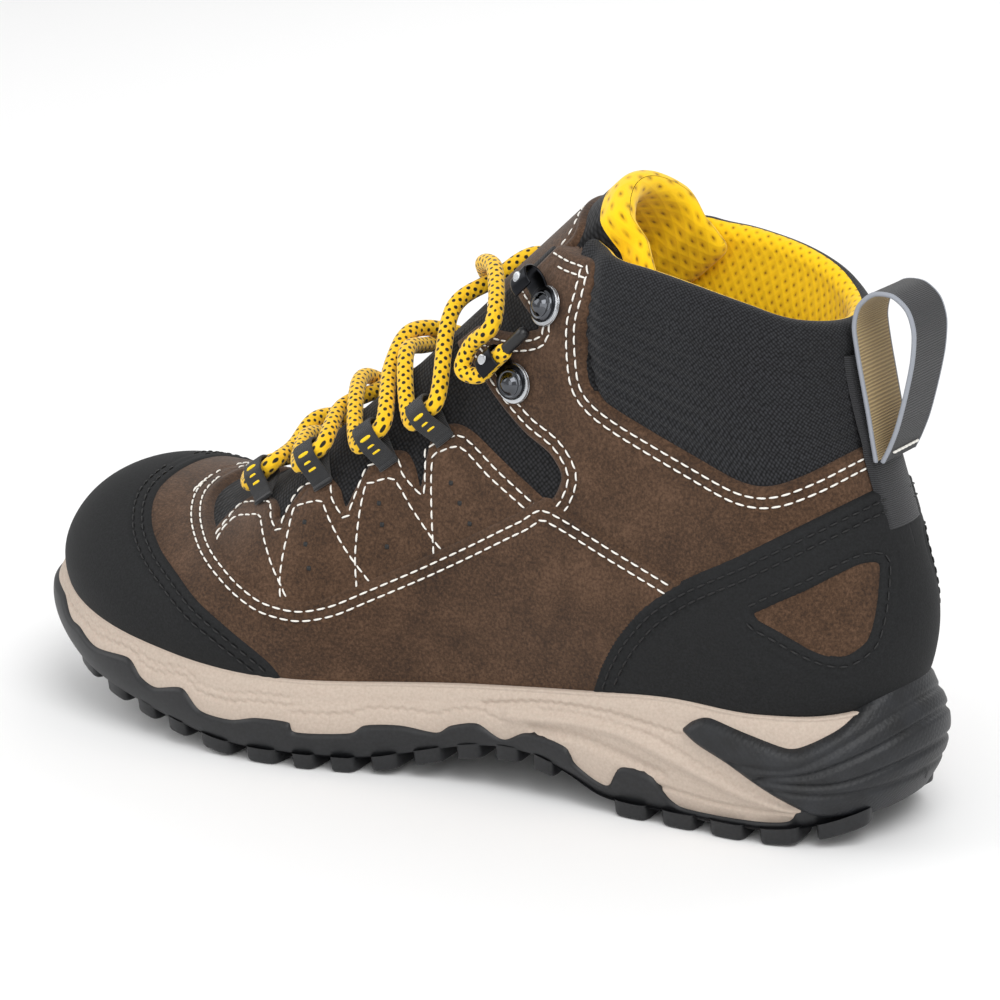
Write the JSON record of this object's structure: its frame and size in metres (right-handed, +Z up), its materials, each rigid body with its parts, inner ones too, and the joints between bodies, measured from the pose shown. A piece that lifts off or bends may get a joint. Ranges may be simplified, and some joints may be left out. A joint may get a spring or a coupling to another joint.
{
  "type": "mountaineering boots",
  "caption": "Left mid-cut lace-up walking boot with suede upper, rubber toe rand, lugged sole, padded collar and heel pull loop",
  "frame": {"origin": "centre of the boot's box on the floor under its lowest blocks", "axes": "+X to the toe, +Y to the wearer's left (outer side), +Z up"},
  "size_m": [0.3124, 0.1078, 0.1873],
  "materials": {
    "brown_suede": "brushed nubuck",
    "black_microfibre": "matt coated microfibre",
    "black_rubber": "matt textured",
    "beige_foam": "moulded foam",
    "black_mesh": "knitted mesh",
    "ribbed_textile": "ribbed stretch",
    "yellow_mesh": "spacer mesh",
    "padding_foam": "foam",
    "stiff_board": "fibre board",
    "dark_steel": "black plated",
    "bright_steel": "polished",
    "lace_cord": "round braid",
    "black_plastic": "smooth",
    "webbing": "woven tape"
  },
  "bodies": {
    "boot": {"toe_rand": "black_microfibre", "vamp": "brown_suede", "side_panel_lateral": "brown_suede", "ankle_quarter_lateral": "brown_suede", "side_panel_medial": "brown_suede", "ankle_quarter_medial": "brown_suede", "heel_counter_cover": "black_microfibre", "window_patch_lateral": "brown_suede", "window_patch_medial": "brown_suede", "back_strap": "webbing", "toe_puff": "stiff_board", "mesh_underlay": "black_mesh", "heel_stiffener": "stiff_board", "collar_panel_lateral": "ribbed_textile", "collar_panel_medial": "ribbed_textile", "padding_toe": "padding_foam", "padding_side_lateral": "padding_foam", "padding_collar_lateral": "padding_foam", "padding_side_medial": "padding_foam", "padding_collar_medial": "padding_foam", "padding_heel": "padding_foam", "foot_lining": "black_mesh", "collar_lining": "yellow_mesh", "midsole": "beige_foam", "shank": "bright_steel", "outsole": "black_rubber", "heel_stabiliser": "black_rubber", "lasting_board": "stiff_board", "lace_loop_lateral_1": "webbing", "lace_loop_medial_1": "webbing", "lace_loop_lateral_2": "webbing", "lace_loop_medial_2": "webbing", "lace_loop_lateral_3": "webbing", "lace_loop_medial_3": "webbing", "lace_loop_lateral_4": "webbing", "lace_loop_medial_4": "webbing", "hook_lateral_lower": "dark_steel", "rivet_lateral_lower": "bright_steel", "hook_medial_lower": "dark_steel", "rivet_medial_lower": "bright_steel", "hook_lateral_upper": "dark_steel", "rivet_lateral_upper": "bright_steel", "hook_medial_upper": "dark_steel", "rivet_medial_upper": "bright_steel", "lace": "lace_cord", "aglet_lateral": "black_plastic", "aglet_medial": "black_plastic"},
    "tongue": {"tongue_face": "black_mesh", "tongue_foam": "padding_foam", "tongue_lining": "yellow_mesh", "tongue_patch": "brown_suede"},
    "footbed": {"footbed": "padding_foam"},
    "pull_loop": {"pull_loop": "webbing"}
  },
  "joints": [
    {"name": "tongue_flex", "type": "hinge", "parent": "boot", "child": "tongue", "pos_m": [0.094, 0, 0.066], "axis": [0, 1, 0], "range_deg": [-5, 0], "stiffness_Nm_per_rad": 0.5, "springref_deg": 5.73},
    {"name": "footbed_lift", "type": "hinge", "parent": "boot", "child": "footbed", "pos_m": [0.14, 0, 0.0415], "axis": [0, 1, 0], "range_deg": [0, 6]},
    {"name": "pull_loop_swing", "type": "hinge", "parent": "boot", "child": "pull_loop", "pos_m": [-0.1405, 0, 0.1122], "axis": [0, 1, 0], "range_deg": [-60, 0], "stiffness_Nm_per_rad": 0.02, "springref_deg": 5.73}
  ]
}
